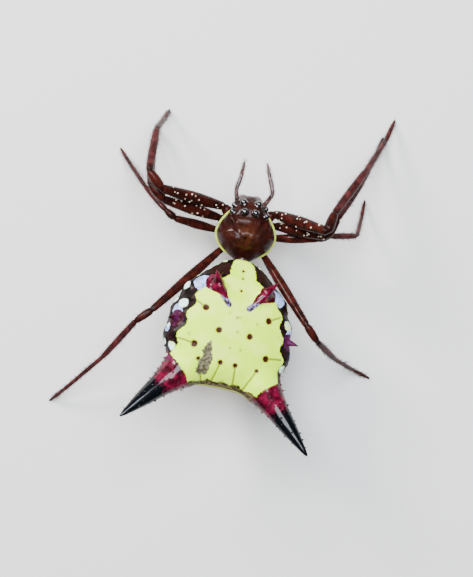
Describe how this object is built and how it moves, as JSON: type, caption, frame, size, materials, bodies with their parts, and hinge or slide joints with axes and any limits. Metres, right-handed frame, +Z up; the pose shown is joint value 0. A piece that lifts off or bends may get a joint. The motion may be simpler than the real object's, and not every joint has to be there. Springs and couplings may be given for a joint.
{
  "type": "spiny orb weaver",
  "caption": "Life-size still model of an arrow-shaped spiny orb weaver, with a yellow plated abdomen that ends in two large spines, standing on its legs.",
  "frame": {"origin": "middle of the footprint, on the floor under the feet", "axes": "+Z up, the head points along -Y, and the animal's left side is towards +X"},
  "size_m": [0.013, 0.014, 0.0055],
  "materials": {
    "chestnut_shell": "gloss",
    "leg_cuticle": "satin",
    "yellow_plate": "satin",
    "crimson_black_spine": "gloss",
    "dark_soft_skin": "satin",
    "eye_lens": "gloss"
  },
  "bodies": {
    "root": {"cephalothorax": "chestnut_shell", "pedicel": "dark_soft_skin", "chelicera_left": "chestnut_shell", "palp_left": "leg_cuticle", "eye_front_median_left": "eye_lens", "eye_rear_median_left": "eye_lens", "eye_front_lateral_left": "eye_lens", "eye_rear_lateral_left": "eye_lens", "chelicera_right": "chestnut_shell", "palp_right": "leg_cuticle", "eye_front_median_right": "eye_lens", "eye_rear_median_right": "eye_lens", "eye_front_lateral_right": "eye_lens", "eye_rear_lateral_right": "eye_lens", "leg_left_1_femur": "leg_cuticle", "leg_left_1_patella": "leg_cuticle", "leg_left_1_tibia": "leg_cuticle", "leg_left_1_metatarsus": "leg_cuticle", "leg_left_1_tarsus": "leg_cuticle", "leg_left_2_femur": "leg_cuticle", "leg_left_2_patella": "leg_cuticle", "leg_left_2_tibia": "leg_cuticle", "leg_left_2_metatarsus": "leg_cuticle", "leg_left_2_tarsus": "leg_cuticle", "leg_left_3_femur": "leg_cuticle", "leg_left_3_patella": "leg_cuticle", "leg_left_3_tibia": "leg_cuticle", "leg_left_3_metatarsus": "leg_cuticle", "leg_left_3_tarsus": "leg_cuticle", "leg_left_4_femur": "leg_cuticle", "leg_left_4_patella": "leg_cuticle", "leg_left_4_tibia": "leg_cuticle", "leg_left_4_metatarsus": "leg_cuticle", "leg_left_4_tarsus": "leg_cuticle", "leg_right_1_femur": "leg_cuticle", "leg_right_1_patella": "leg_cuticle", "leg_right_1_tibia": "leg_cuticle", "leg_right_1_metatarsus": "leg_cuticle", "leg_right_1_tarsus": "leg_cuticle", "leg_right_2_femur": "leg_cuticle", "leg_right_2_patella": "leg_cuticle", "leg_right_2_tibia": "leg_cuticle", "leg_right_2_metatarsus": "leg_cuticle", "leg_right_2_tarsus": "leg_cuticle", "leg_right_3_femur": "leg_cuticle", "leg_right_3_patella": "leg_cuticle", "leg_right_3_tibia": "leg_cuticle", "leg_right_3_metatarsus": "leg_cuticle", "leg_right_3_tarsus": "leg_cuticle", "leg_right_4_femur": "leg_cuticle", "leg_right_4_patella": "leg_cuticle", "leg_right_4_tibia": "leg_cuticle", "leg_right_4_metatarsus": "leg_cuticle", "leg_right_4_tarsus": "leg_cuticle", "abdomen": "yellow_plate", "spinnerets": "dark_soft_skin", "spine_rear_left": "crimson_black_spine", "spine_rear_right": "crimson_black_spine"}
  },
  "joints": []
}
